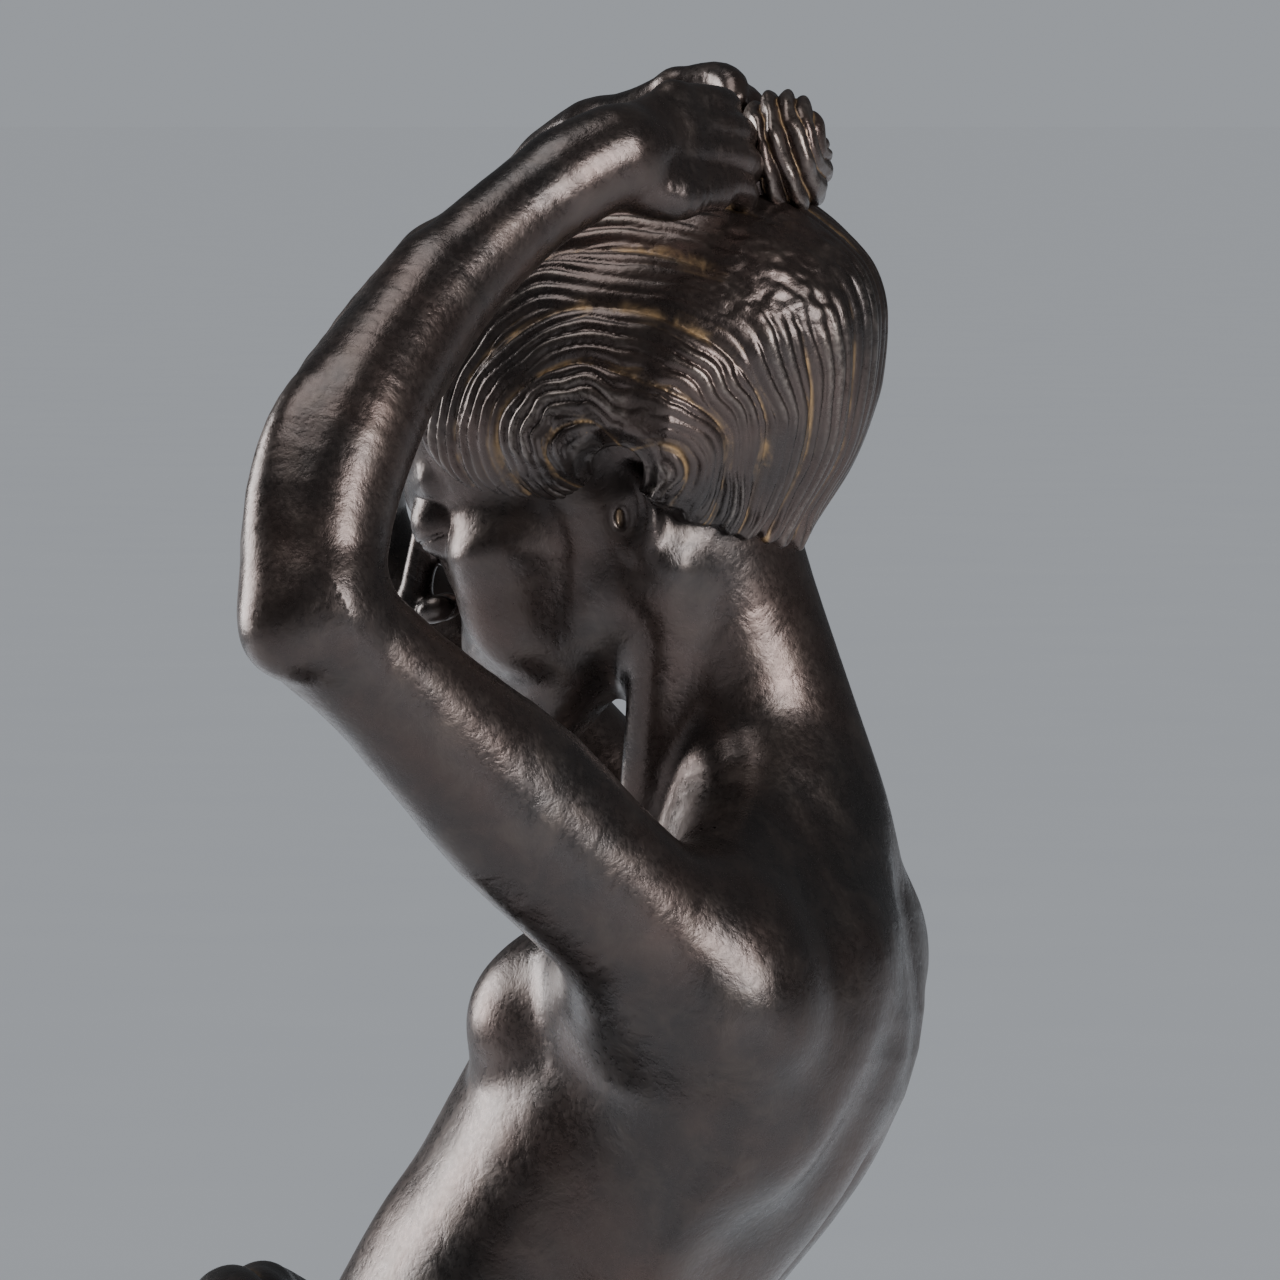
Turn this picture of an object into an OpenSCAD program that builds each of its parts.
// Bronze statuette of a standing bather who gathers her hair with both hands.
// The figure is cast in sections that are joined with tenons and cross pins, and it
// stands on a bronze ground plate bolted through a stone socle.
// Origin: centre of the underside. +Z up, the figure faces -Y, her left side is +X.

/* [Socle] */
// Diameter of the stone socle at its foot
socle_d = 128; // [124:1:140]
// Height of the stone socle
socle_h = 34; // [30:1:40]
// Thickness of the felt under the socle
felt_t = 1.5; // [1:0.5:3]
// Distance of each mounting stud from the centre
stud_offset = 28; // [26:1:30]
// Angle of the line through the two mounting studs
stud_turn = 50; // [45:1:60]

/* [Ground plate] */
// Diameter of the bronze ground plate
ground_d = 96; // [92:1:104]
// Height of the bronze ground plate
ground_h = 12.5; // [11:0.5:15]

/* [Castings] */
// Wall of the hollow castings
wall = 2.6; // [2:0.1:3]
// Radius of the shoulder tenons
tenon_r = 3.4; // [2.8:0.1:3.8]
// Gap between a tenon or collar and its socket
joint_gap = 0.12; // [0.1:0.01:0.2]
// Diameter of the cross pins
pin_d = 1.6; // [1.2:0.1:2]

/* [Drapery] */
// Number of folds round the skirt
fold_count = 11; // [9:1:14]
// Depth of the folds at the hem
fold_depth = 1.8; // [0.5:0.1:2.4]

/* [Hidden] */

bronze = "#3a2b24";
steel = "#9a9c9e";
slice_fn = 28;
ball_fn = 20;
slice_t = 0.1;      // thickness of the discs that a body section is hulled from
contact_gap = 0.02; // hairline gap between castings that meet

// Heights of the stack under the figure
socle_z = felt_t;
ground_z = socle_z + socle_h;
figure_z = ground_z + ground_h;

// Mounting hardware: M6 studs, washers and hexagon nuts in recesses under the socle
stud_r = 3;
stud_hole_r = 3.3;
recess_r = 9;
recess_h = 12;
washer_r = 6.2;
washer_t = 1.6;
nut_af = 10;
nut_h = 5;
stud_drop = 8.5;    // length of stud below the ceiling of the recess
boss_r = 6.5;
thread_depth = 8;   // how far a mounting stud reaches into its boss

// Ground plate
ground_wall = 3;
ground_round = 4;

// Body sections: x, y, z above the ground, lean about X, half width, half depth
waist_low = [0, -11, 199, -8, 24.2, 15.4];
waist_joint = [0, -8, 209, -20, 24.6, 15.8];
neck_joint = [0, 15.4, 278.6, 45.5, 9.2, 11];
torso_sections = [
    waist_joint,
    [0, -2.5, 218, -33, 24.6, 16.2],
    [0, 5, 228, -35, 26.2, 16.8],
    [0, 10, 236.5, -24, 27.8, 18.8],
    [0, 12.5, 244, -8, 29, 20],
    [0, 15.5, 251, 4, 28, 17],
    [0, 17, 257, 9, 20, 12.8],
    [0, 17, 262.5, 10, 12, 10.2],
    [0, 16.2, 268.5, 16, 9.6, 9.4],
    neck_joint
];
head_sections = [
    neck_joint,
    [0, 10.5, 281, 36, 12.4, 14.8],
    [0, 7, 286.5, 28, 15.4, 19.5],
    [0, 6, 294, 20, 17.8, 23],
    [0, 6.5, 302, 18, 18.6, 24],
    [0, 7, 309, 15, 16.8, 21],
    [0, 7.5, 314.5, 11, 12.2, 15],
    [0, 7.5, 318.2, 8, 5, 6]
];
head_tenon = [6, 10];       // radius and length
head_core_r = 3.4;          // opening that the core was cleaned out through
neck_dir = [0, 0.115, -0.993];

// Arms: joint centres and radii, from the shoulder to the knuckles
left_shoulder = [29, 17.5, 251, 8.2];
left_elbow = [54, -12, 284, 6.8];
left_forearm = [[48, -11, 297, 6], [36, -5.5, 310.5, 5]];
left_wrist = [23.5, 8, 322.5, 4.4];
left_knuckles = [16, 14.2, 325, 3.6];
right_shoulder = [-29, 12.5, 248.5, 8.2];
right_elbow = [-38, -26.5, 285, 6.6];
right_forearm = [[-34, -24.5, 298, 5.8], [-24, -13.5, 311.5, 5]];
right_wrist = [-12, 1.5, 323, 4.3];
right_knuckles = [-9.5, 10.5, 326.2, 3.5];
shoulder_stub = 5;      // from the shoulder's centre to the joint face
tenon_len = 7;

// Hair knot, on the back of the crown
knot_centre = [1, 19, 322];
knot_r = 5;

// Drapery sections: x, y, z, half width, half depth of the outer face between the folds
drapery_sections = [
    [0, 2, 0.1, 31, 25.5],
    [0, 1.6, 14, 29.6, 24],
    [0, 0.6, 34, 27.4, 22],
    [-0.5, -1, 58, 25.8, 20.4],
    [-0.8, -3.6, 82, 25, 20],
    [-1, -6, 104, 26, 20.4],
    [-1.5, -7.4, 128, 29, 20.8],
    [-2.5, -8, 152, 33, 22],
    [-3, -8, 172, 35.4, 22.8],
    [-2.6, -9, 187, 33.6, 21.6],
    [-0.8, -10, 199, 29.8, 19.6]
];
drapery_top = [0, -8.2, 208.6, -20, 27.6, 18.8];
ring_points = 55;

function at(v) = [v[0], v[1], v[2]];
function unit(v) = v / norm(v);
function between(a, b, t) = a + (b - a) * t;

// A closed ring: an ellipse of half sizes a and b about c, leaned about X, waved by the folds
function ring(c, lean, a, b, wave = 0) = [
    for (i = [0 : ring_points - 1])
        let (t = 360 * i / ring_points, r = 1 + wave * cos(fold_count * t) / a)
            [c[0] + a * r * cos(t), c[1] + b * r * sin(t) * cos(lean), c[2] + b * r * sin(t) * sin(lean)]
];

// Triangles that join each ring to the next; the last one joins the first, so the wall is closed
function wall_faces(rings) = [
    for (k = [0 : rings - 1], i = [0 : ring_points - 1])
        let (j = (i + 1) % ring_points, a = k * ring_points, b = ((k + 1) % rings) * ring_points)
            each [[a + i, b + i, b + j], [a + i, b + j, a + j]]
];

module ring_wall(rings) {
    polyhedron(points = [for (r = rings) each r], faces = wall_faces(len(rings)), convexity = 6);
}

module slice(s, grow = 0) {
    translate(at(s))
        rotate([s[3], 0, 0])
            scale([s[4] + grow, s[5] + grow, 1])
                cylinder(r = 1, h = slice_t, center = true, $fn = slice_fn);
}

module body(sections, grow = 0) {
    for (i = [0 : len(sections) - 2])
        hull() {
            slice(sections[i], grow);
            slice(sections[i + 1], grow);
        }
}

module ball(p, r) {
    translate(at(p)) sphere(r = r, $fn = ball_fn);
}

module bone(p, q) {
    hull() {
        ball(p, p[3]);
        ball(q, q[3]);
    }
}

// Turns +Z to the direction v, with the origin at p
module aim(p, v) {
    translate(at(p))
        rotate([0, acos(unit(v)[2]), atan2(v[1], v[0])])
            children();
}

// ---- socle and hardware

module felt_pad() {
    color("#1f3a2a")
        cylinder(r = socle_d / 2 - 2, h = felt_t, $fn = 96);
}

module both_studs() {
    for (side = [-1, 1])
        rotate([0, 0, stud_turn]) translate([side * stud_offset, 0, 0]) children();
}

// Turned profile: a plinth slab, a hollow moulding, a drum and a rounded top edge
function hollow_arc(r, z, size, steps) = [
    for (i = [0 : steps])
        let (turn = 90 * i / steps) [r - size * sin(turn), z + size * (1 - cos(turn))]
];
function round_arc(r, z, size, steps) = [
    for (i = [0 : steps])
        let (turn = 90 * i / steps) [r - size * (1 - cos(turn)), z + size * sin(turn)]
];

module socle_profile() {
    slab_r = socle_d / 2;
    slab_h = socle_h * 0.3;
    drum_r = slab_r - 8;
    top_round = 2.5;
    polygon(concat(
        [[0, 0], [slab_r, 0]],
        round_arc(slab_r, slab_h - 1.5, 1.5, 4),
        hollow_arc(drum_r + 5, slab_h, 5, 8),
        round_arc(drum_r, socle_h - top_round, top_round, 6),
        [[0, socle_h]]
    ));
}

module marble_socle() {
    color("#23282a")
        translate([0, 0, socle_z])
            difference() {
                rotate_extrude($fn = 128) socle_profile();
                both_studs() {
                    translate([0, 0, -1]) cylinder(r = recess_r, h = recess_h + 1, $fn = 48);
                    cylinder(r = stud_hole_r, h = socle_h + 1, $fn = 32);
                }
            }
}

recess_z = socle_z + recess_h;

module mounting_washers() {
    color(steel)
        both_studs()
            translate([0, 0, recess_z - washer_t])
                difference() {
                    cylinder(r = washer_r, h = washer_t, $fn = 32);
                    translate([0, 0, -1]) cylinder(r = stud_hole_r, h = washer_t + 2, $fn = 32);
                }
}

module mounting_nuts() {
    color(steel)
        both_studs()
            translate([0, 0, recess_z - washer_t - nut_h])
                difference() {
                    cylinder(r = nut_af / sqrt(3), h = nut_h, $fn = 6);
                    translate([0, 0, -1]) cylinder(r = stud_r + joint_gap / 2, h = nut_h + 2, $fn = 32);
                }
}

module mounting_studs() {
    color(steel)
        both_studs()
            translate([0, 0, recess_z - stud_drop])
                cylinder(r = stud_r, h = ground_z + thread_depth - recess_z + stud_drop, $fn = 32);
}

// ---- ground plate and feet

foot_stud_r = 2;
foot_stud_at = [[-13, 3], [14, 2]];
foot_stud_up = 9;
foot_stud_drop = 6;
foot_nut_af = 7;
foot_nut_h = 3.2;
screw_r = 1.5;
screw_at = [[0, 22.6], [-24.6, -4], [24.6, -4]];
screw_up = 6;
screw_head_r = 2.8;
screw_head_h = 2;

module ground_profile() {
    r = ground_d / 2;
    polygon(concat(
        [[0, 0], [r, 0]],
        round_arc(r - 1, ground_h - ground_round, ground_round, 8),
        [[0, ground_h]]
    ));
}

module ground_plate() {
    under = ground_h - ground_wall;
    color(bronze)
        translate([0, 0, ground_z])
            difference() {
                union() {
                    difference() {
                        rotate_extrude($fn = 128) ground_profile();
                        translate([0, 0, -1])
                            cylinder(r = ground_d / 2 - ground_wall - 3, h = under + 1, $fn = 96);
                    }
                    both_studs() cylinder(r = boss_r, h = under + 0.5, $fn = 40);
                }
                both_studs()
                    translate([0, 0, -1])
                        cylinder(r = stud_r + joint_gap / 2, h = thread_depth + 1, $fn = 32);
                for (p = foot_stud_at)
                    translate([p[0], p[1], under - 1])
                        cylinder(r = foot_stud_r + joint_gap, h = ground_wall + 2, $fn = 32);
                for (p = screw_at)
                    translate([p[0], p[1], under - 1])
                        cylinder(r = screw_r + joint_gap, h = ground_wall + 2, $fn = 24);
            }
}

module foot_studs() {
    color(steel)
        for (p = foot_stud_at)
            translate([p[0], p[1], figure_z - ground_wall - foot_stud_drop])
                cylinder(r = foot_stud_r, h = ground_wall + foot_stud_drop + foot_stud_up, $fn = 32);
}

module foot_nuts() {
    color(steel)
        for (p = foot_stud_at)
            translate([p[0], p[1], figure_z - ground_wall - foot_nut_h])
                difference() {
                    cylinder(r = foot_nut_af / sqrt(3), h = foot_nut_h, $fn = 6);
                    translate([0, 0, -1])
                        cylinder(r = foot_stud_r + joint_gap / 2, h = foot_nut_h + 2, $fn = 32);
                }
}

module drapery_screws() {
    color(steel)
        for (p = screw_at)
            translate([p[0], p[1], figure_z - ground_wall]) {
                translate([0, 0, -screw_head_h]) cylinder(r = screw_head_r, h = screw_head_h, $fn = 32);
                translate([0, 0, -0.5]) cylinder(r = screw_r, h = ground_wall + screw_up + 0.5, $fn = 24);
            }
}

// A bare foot: heel, ankle, instep and ball, with five toes; turn is its angle outwards
toe_at = [[-6.4, -30.5], [-2.6, -31.2], [0.6, -30], [3.6, -28], [6.2, -25.2]];
toe_r = [2.9, 2, 1.9, 1.8, 1.6];
heel = [0, 15.5, 5.5, 5.6];
ankle = [0, 9.5, 16, 6.2];
arch = [0.6, -4, 8, 6];
ball_in = [-4.2, -19, 4, 4.4];
ball_out = [4.2, -16, 3.2, 3.6];
right_place = [-13, -3, -6];    // x, y and turn of each foot
left_place = [14, -4, 16];

// Moves a left foot to its place; the right foot is its mirror image
module at_foot(side, place) {
    translate([place[0], place[1], figure_z])
        rotate([0, 0, place[2]])
            mirror([side < 0 ? 1 : 0, 0, 0]) children();
}

// The space that the hem leaves above an instep
module foot_clearance(side, place) {
    hem_gap = 0.4;
    at_foot(side, place)
        hull()
            for (b = [arch, ball_in, ball_out], forward = [0, -12], up = [-8, 0])
                translate([0, forward * (b == arch ? 0 : 1), up]) ball(b, b[3] + hem_gap);
}

module foot(side, place, stud) {
    difference() {
        at_foot(side, place)
            difference() {
                union() {
                    bone(heel, ankle);
                    bone(heel, arch);
                    bone(ankle, arch);
                    bone(arch, ball_in);
                    bone(arch, ball_out);
                    bone(ball_in, ball_out);
                    for (i = [0 : 4]) {
                        root = between(ball_in, ball_out, i / 4);
                        bone(root, [toe_at[i][0], toe_at[i][1], toe_r[i] + 0.1, toe_r[i]]);
                    }
                }
                translate([-20, -50, -20 + contact_gap]) cube([40, 80, 20]);
                translate([-20, -50, 19]) cube([40, 80, 20]);
            }
        translate([stud[0], stud[1], figure_z - 1])
            cylinder(r = foot_stud_r + joint_gap / 2, h = foot_stud_up + 2, $fn = 32);
    }
}

module right_foot() {
    color(bronze) foot(-1, right_place, foot_stud_at[0]);
}

module left_foot() {
    color(bronze) foot(1, left_place, foot_stud_at[1]);
}

// ---- drapery

module lug(p) {
    for (top = [8, 6, 4])
        hull() {
            translate([p[0], p[1], figure_z + contact_gap]) cylinder(r = 3.4, h = top, $fn = 24);
            translate([p[0] * 1.08, p[1] * 1.08, figure_z + contact_gap])
                cylinder(r = 2, h = top + 2, $fn = 24);
        }
}

// The rings lean more and more with height, until they lie along the top edge
hip_z = 172;
function skirt_lean(z) = drapery_top[3] * max(0, (z - hip_z) / (drapery_top[2] - hip_z));

function skirt_ring(i, grow) =
    let (s = drapery_sections[i], fade = 1 - i / len(drapery_sections))
        ring([s[0], s[1], s[2] + figure_z], skirt_lean(s[2]), s[3] + grow, s[4] + grow, fold_depth * fade);

function top_ring(s, grow) = ring([s[0], s[1], s[2] + figure_z], s[3], s[4] + grow, s[5] + grow);

module drapery_shell() {
    last = len(drapery_sections) - 1;
    ring_wall(concat(
        [for (i = [0 : last]) skirt_ring(i, 0)],
        [top_ring(drapery_top, 0), top_ring(waist_joint, joint_gap), top_ring(waist_low, joint_gap)],
        [for (i = [last - 1 : -1 : 0]) skirt_ring(i, -wall)]
    ));
}

module drapery() {
    color(bronze)
        difference() {
            union() {
                drapery_shell();
                for (p = screw_at) lug(p);
            }
            for (p = screw_at)
                translate([p[0], p[1], figure_z - 1])
                    cylinder(r = screw_r + joint_gap / 2, h = screw_up + 2, $fn = 24);
            at_waist_pins(joint_gap / 2, 1);
            foot_clearance(-1, right_place);
            foot_clearance(1, left_place);
        }
}

// The twisted top edge of the cloth: a ring of half-round section that hugs the body outside the
// waist joint and hides it
roll_r = 4.2;
roll_clear = 0.15;
roll_steps = 8;
roll_inner = [29.9, 20.6];
roll_drop = 3;      // its middle lies this far below the top edge of the drapery

function roll_ring(k) =
    let (
        t = 180 * k / roll_steps - 90,
        lean = drapery_top[3],
        out = roll_clear + roll_r * 1.15 * cos(t),
        up = roll_r * sin(t),
        middle = [0, drapery_top[1] - sin(lean) * up, figure_z + drapery_top[2] - roll_drop + cos(lean) * up]
    )
        ring(middle, lean, roll_inner[0] + out, roll_inner[1] + out);

module drapery_roll() {
    color(bronze)
        ring_wall([for (k = [0 : roll_steps]) roll_ring(k)]);
}

// The loose end of the cloth, which hangs from the roll beside the left hip
tail = [
    [35.2, -10, 196, 3.2],
    [38.6, -11, 184, 3.6],
    [40.4, -11, 165, 3.9],
    [39.4, -10.5, 145, 4.1],
    [37, -9.5, 125, 4.2],
    [34.6, -8, 105, 4.4],
    [33.6, -7, 88, 3.6]
];
tail_spread = 4.5;

module drapery_tail() {
    color(bronze)
        difference() {
            for (i = [0 : len(tail) - 2], side = [-1 : 1])
                translate([-0.6 * abs(side), side * tail_spread, figure_z]) bone(tail[i], tail[i + 1]);
            tail_clearance();
        }
}

// The space that the skirt and the roll fill, a little larger, which the tail is fitted against
module tail_clearance() {
    last = len(drapery_sections) - 1;
    for (i = [3 : last - 1])
        hull()
            for (s = [drapery_sections[i], drapery_sections[i + 1]])
                translate([s[0], s[1], s[2] + figure_z])
                    scale([s[3] + 1.6, s[4] + 1.6, 1]) cylinder(r = 1, h = slice_t, $fn = 64);
    hull()
        for (up = [-roll_r - 0.4, roll_r + 0.4])
            translate([0, drapery_top[1], figure_z + drapery_top[2] - roll_drop])
                rotate([drapery_top[3], 0, 0])
                    translate([0, 0, up])
                        scale([roll_inner[0] + roll_r * 1.2 + 0.5, roll_inner[1] + roll_r * 1.2 + 0.5, 1])
                            cylinder(r = 1, h = slice_t, $fn = 64);
}

// ---- torso

module at_waist_pins(grow, extra) {
    for (turn = [45 : 90 : 315])
        translate([0, waist_low[1] + 1.4, figure_z + waist_low[2] + 5])
            rotate([-14, 0, 0])
                rotate([0, 90, turn])
                    translate([0, 0, waist_low[5] + 0.6 - extra])
                        cylinder(d = pin_d + 2 * grow, h = 4.4 + 2 * extra, $fn = 24);
}

module waist_pins() {
    color(bronze) at_waist_pins(0, 0);
}

module shoulder_frame(shoulder, elbow) {
    translate([0, 0, figure_z])
        aim(shoulder, at(elbow) - at(shoulder))
            translate([0, 0, shoulder_stub])
                children();
}

module torso() {
    color(bronze)
        difference() {
            union() {
                difference() {
                    translate([0, 0, figure_z]) {
                        body(concat([waist_low], torso_sections));
                        ball(left_shoulder, left_shoulder[3]);
                        ball(right_shoulder, right_shoulder[3]);
                    }
                    translate([0, 0, figure_z]) {
                        translate([0, 0, -1]) slice(waist_low, -wall);
                        body(concat([waist_low], [for (i = [0 : 6]) torso_sections[i]]), -wall);
                    }
                }
                shoulder_frame(left_shoulder, left_elbow)
                    translate([0, 0, -12]) cylinder(r = tenon_r + wall, h = 12, $fn = 32);
                shoulder_frame(right_shoulder, right_elbow)
                    translate([0, 0, -12]) cylinder(r = tenon_r + wall, h = 12, $fn = 32);
            }
            shoulder_cut(left_shoulder, left_elbow);
            shoulder_cut(right_shoulder, right_elbow);
            translate([0, 0, figure_z])
                aim(neck_joint, neck_dir)
                    translate([0, 0, -4]) {
                        cylinder(r = head_tenon[0] + joint_gap, h = head_tenon[1] + 5, $fn = 40);
                        cylinder(r = head_core_r, h = 30, $fn = 32);
                    }
            translate([-30, -40, figure_z + waist_low[2] - 8]) cube([60, 60, 10]);
            at_waist_pins(joint_gap / 2, 0.3);
            at_neck_pins(joint_gap / 2, 0.5);
            at_shoulder_pins(left_shoulder, left_elbow, joint_gap / 2, 0.5);
            at_shoulder_pins(right_shoulder, right_elbow, joint_gap / 2, 0.5);
        }
}

module shoulder_cut(shoulder, elbow) {
    shoulder_frame(shoulder, elbow) {
        cylinder(r = shoulder[3] + 3, h = 20, $fn = 40);
        translate([0, 0, -tenon_len - 0.5]) cylinder(r = tenon_r + joint_gap, h = tenon_len + 1, $fn = 32);
    }
}

module at_neck_pins(grow, extra) {
    translate([0, 0, figure_z])
        aim(neck_joint, neck_dir)
            translate([0, 0, head_tenon[1] - 2.5])
                for (side = [-1, 1])
                    rotate([0, 90, 90 + side * 90])
                        translate([0, 0, head_core_r + 0.4 - extra])
                            cylinder(d = pin_d + 2 * grow, h = 4.6 + 2 * extra, $fn = 24);
}

module neck_pins() {
    color(bronze) at_neck_pins(0, 0);
}

// Two cross pins through the shoulder socket and the arm's tenon
module at_shoulder_pins(shoulder, elbow, grow, extra) {
    shoulder_frame(shoulder, elbow)
        for (k = [0, 1])
            translate([0, 0, -2 - 2.8 * k])
                rotate([0, 90, k * 80])
                    translate([0, 0, 0.8 - extra])
                        cylinder(d = pin_d + 2 * grow, h = 4.6 + 2 * extra, $fn = 24);
}

module left_shoulder_pins() {
    color(bronze) at_shoulder_pins(left_shoulder, left_elbow, 0, 0);
}

module right_shoulder_pins() {
    color(bronze) at_shoulder_pins(right_shoulder, right_elbow, 0, 0);
}

// ---- arms

// Upper arm, forearm and palm, each with a fuller middle
function limb(shoulder, elbow, forearm, wrist, knuckles) = concat(
    [
        shoulder,
        concat(between(at(shoulder), at(elbow), 0.35), [7]),
        concat(between(at(shoulder), at(elbow), 0.75), [6.4]),
        elbow
    ],
    forearm,
    [wrist, knuckles]
);

// Four fingers and a thumb, each of two bones, from the knuckles to their tips on the knot
module fingers(knuckles, across, tips, thumb) {
    for (i = [0 : 3]) {
        root = at(knuckles) + across * (i - 1.5);
        middle = between(root, at(tips), 0.5) + across * (i - 1.5) * 0.4 + [0, 0, 1.6];
        tip = at(tips) + across * (i - 1.5) * 0.9;
        bone(concat(root, [2.1]), concat(middle, [1.8]));
        bone(concat(middle, [1.8]), concat(tip, [1.5]));
    }
    bone(concat(thumb[0], [2.4]), concat(thumb[1], [1.7]));
}

module arm(shoulder, elbow, forearm, wrist, knuckles, across, tips, thumb) {
    path = limb(shoulder, elbow, forearm, wrist, knuckles);
    difference() {
        union() {
            difference() {
                translate([0, 0, figure_z]) {
                    for (i = [0 : len(path) - 2]) bone(path[i], path[i + 1]);
                    fingers(knuckles, across, tips, thumb);
                }
                shoulder_frame(shoulder, elbow)
                    translate([0, 0, -30 + contact_gap]) cylinder(r = 14, h = 30, $fn = 40);
            }
            shoulder_frame(shoulder, elbow)
                translate([0, 0, -tenon_len]) cylinder(r = tenon_r, h = tenon_len + 1, $fn = 32);
        }
        at_shoulder_pins(shoulder, elbow, joint_gap / 2, 0.5);
        knot_body(contact_gap);
        hair_clearance();
        at_hand_rivets(joint_gap / 2, 0.3);
    }
}

left_across = [1.3, 0.6, 2];
left_tips = [7.6, 20, 323.5];
left_thumb = [[23, 10.5, 319.5], [16, 16.5, 319]];
right_across = [-1.4, 0.6, -1.9];
right_tips = [-5.8, 17.5, 326];
right_thumb = [[-14, 4.5, 320.5], [-11, 13, 319.5]];

module left_arm() {
    color(bronze)
        arm(
            left_shoulder, left_elbow, left_forearm, left_wrist, left_knuckles,
            left_across, left_tips, left_thumb
        );
}

module right_arm() {
    color(bronze)
        arm(
            right_shoulder, right_elbow, right_forearm, right_wrist, right_knuckles,
            right_across, right_tips, right_thumb
        );
}

// ---- head and hair

module hair_clearance() {
    translate([0, 0, figure_z])
        body([for (i = [2 : len(head_sections) - 1]) head_sections[i]], 2 * contact_gap);
}

module head() {
    hollow = [for (i = [1 : len(head_sections) - 2]) head_sections[i]];
    color(bronze)
        difference() {
            union() {
                difference() {
                    translate([0, 0, figure_z]) body(head_sections);
                    translate([0, 0, figure_z]) body(hollow, -wall - 0.6);
                    translate([0, 0, figure_z])
                        aim(neck_joint, -neck_dir)
                            translate([0, 0, -1]) cylinder(r = head_core_r, h = 8, $fn = 32);
                    below_neck_joint();
                }
                translate([0, 0, figure_z])
                    aim(neck_joint, neck_dir)
                        translate([0, 0, -3])
                            difference() {
                                cylinder(r = head_tenon[0], h = head_tenon[1] + 3, $fn = 40);
                                translate([0, 0, -1])
                                    cylinder(r = head_core_r, h = head_tenon[1] + 5, $fn = 32);
                            }
            }
            at_neck_pins(joint_gap / 2, 0.5);
            at_knot_pin(joint_gap / 2, 0.5);
        }
}

module below_neck_joint() {
    translate([0, 0, figure_z])
        translate(at(neck_joint))
            rotate([neck_joint[3], 0, 0])
                translate([0, 0, -10 + slice_t / 2 + contact_gap]) cylinder(r = 20, h = 10, $fn = 32);
}

module knot_body(grow = 0) {
    c = knot_centre;
    lobes = [[-4.2, 0.4, 1], [4.4, 0, 0.4], [0, 1, 2.4], [0.4, -1.6, -3.4]];
    translate([0, 0, figure_z])
        for (a = [0 : 2], b = [a + 1 : 3])
            hull() {
                ball(c + lobes[a], knot_r - 1 + grow);
                ball(c + lobes[b], knot_r - 1 + grow);
            }
}

module hair_knot() {
    color(bronze)
        difference() {
            knot_body();
            hair_clearance();
            at_knot_pin(joint_gap / 2, 0.5);
            at_hand_rivets(joint_gap / 2, 0.3);
        }
}

module at_knot_pin(grow, extra) {
    translate([knot_centre[0], knot_centre[1] - 4.5, figure_z + 308])
        rotate([-14, 0, 0])
            translate([0, 0, -extra]) cylinder(d = pin_d + 2 * grow, h = 13 + 2 * extra, $fn = 24);
}

module knot_pin() {
    color(bronze) at_knot_pin(0, 0);
}

// Short rivets from each hand into the knot
module at_hand_rivets(grow, extra) {
    for (p = [[left_knuckles, [4, 19.5, 323]], [right_knuckles, [-2, 19, 324]]])
        translate([0, 0, figure_z])
            aim(between(at(p[0]), p[1], 0.35), p[1] - at(p[0]))
                translate([0, 0, -extra]) {
                    reach = norm(p[1] - at(p[0])) * 0.6;
                    cylinder(d = pin_d * 0.75 + 2 * grow, h = reach + 2 * extra, $fn = 24);
                }
}

module hand_rivets() {
    color(bronze) at_hand_rivets(0, 0);
}

felt_pad();
marble_socle();
mounting_studs();
mounting_washers();
mounting_nuts();
ground_plate();
foot_studs();
foot_nuts();
right_foot();
left_foot();
drapery();
drapery_screws();
drapery_roll();
drapery_tail();
waist_pins();
torso();
neck_pins();
head();
hair_knot();
knot_pin();
left_arm();
left_shoulder_pins();
right_arm();
right_shoulder_pins();
hand_rivets();
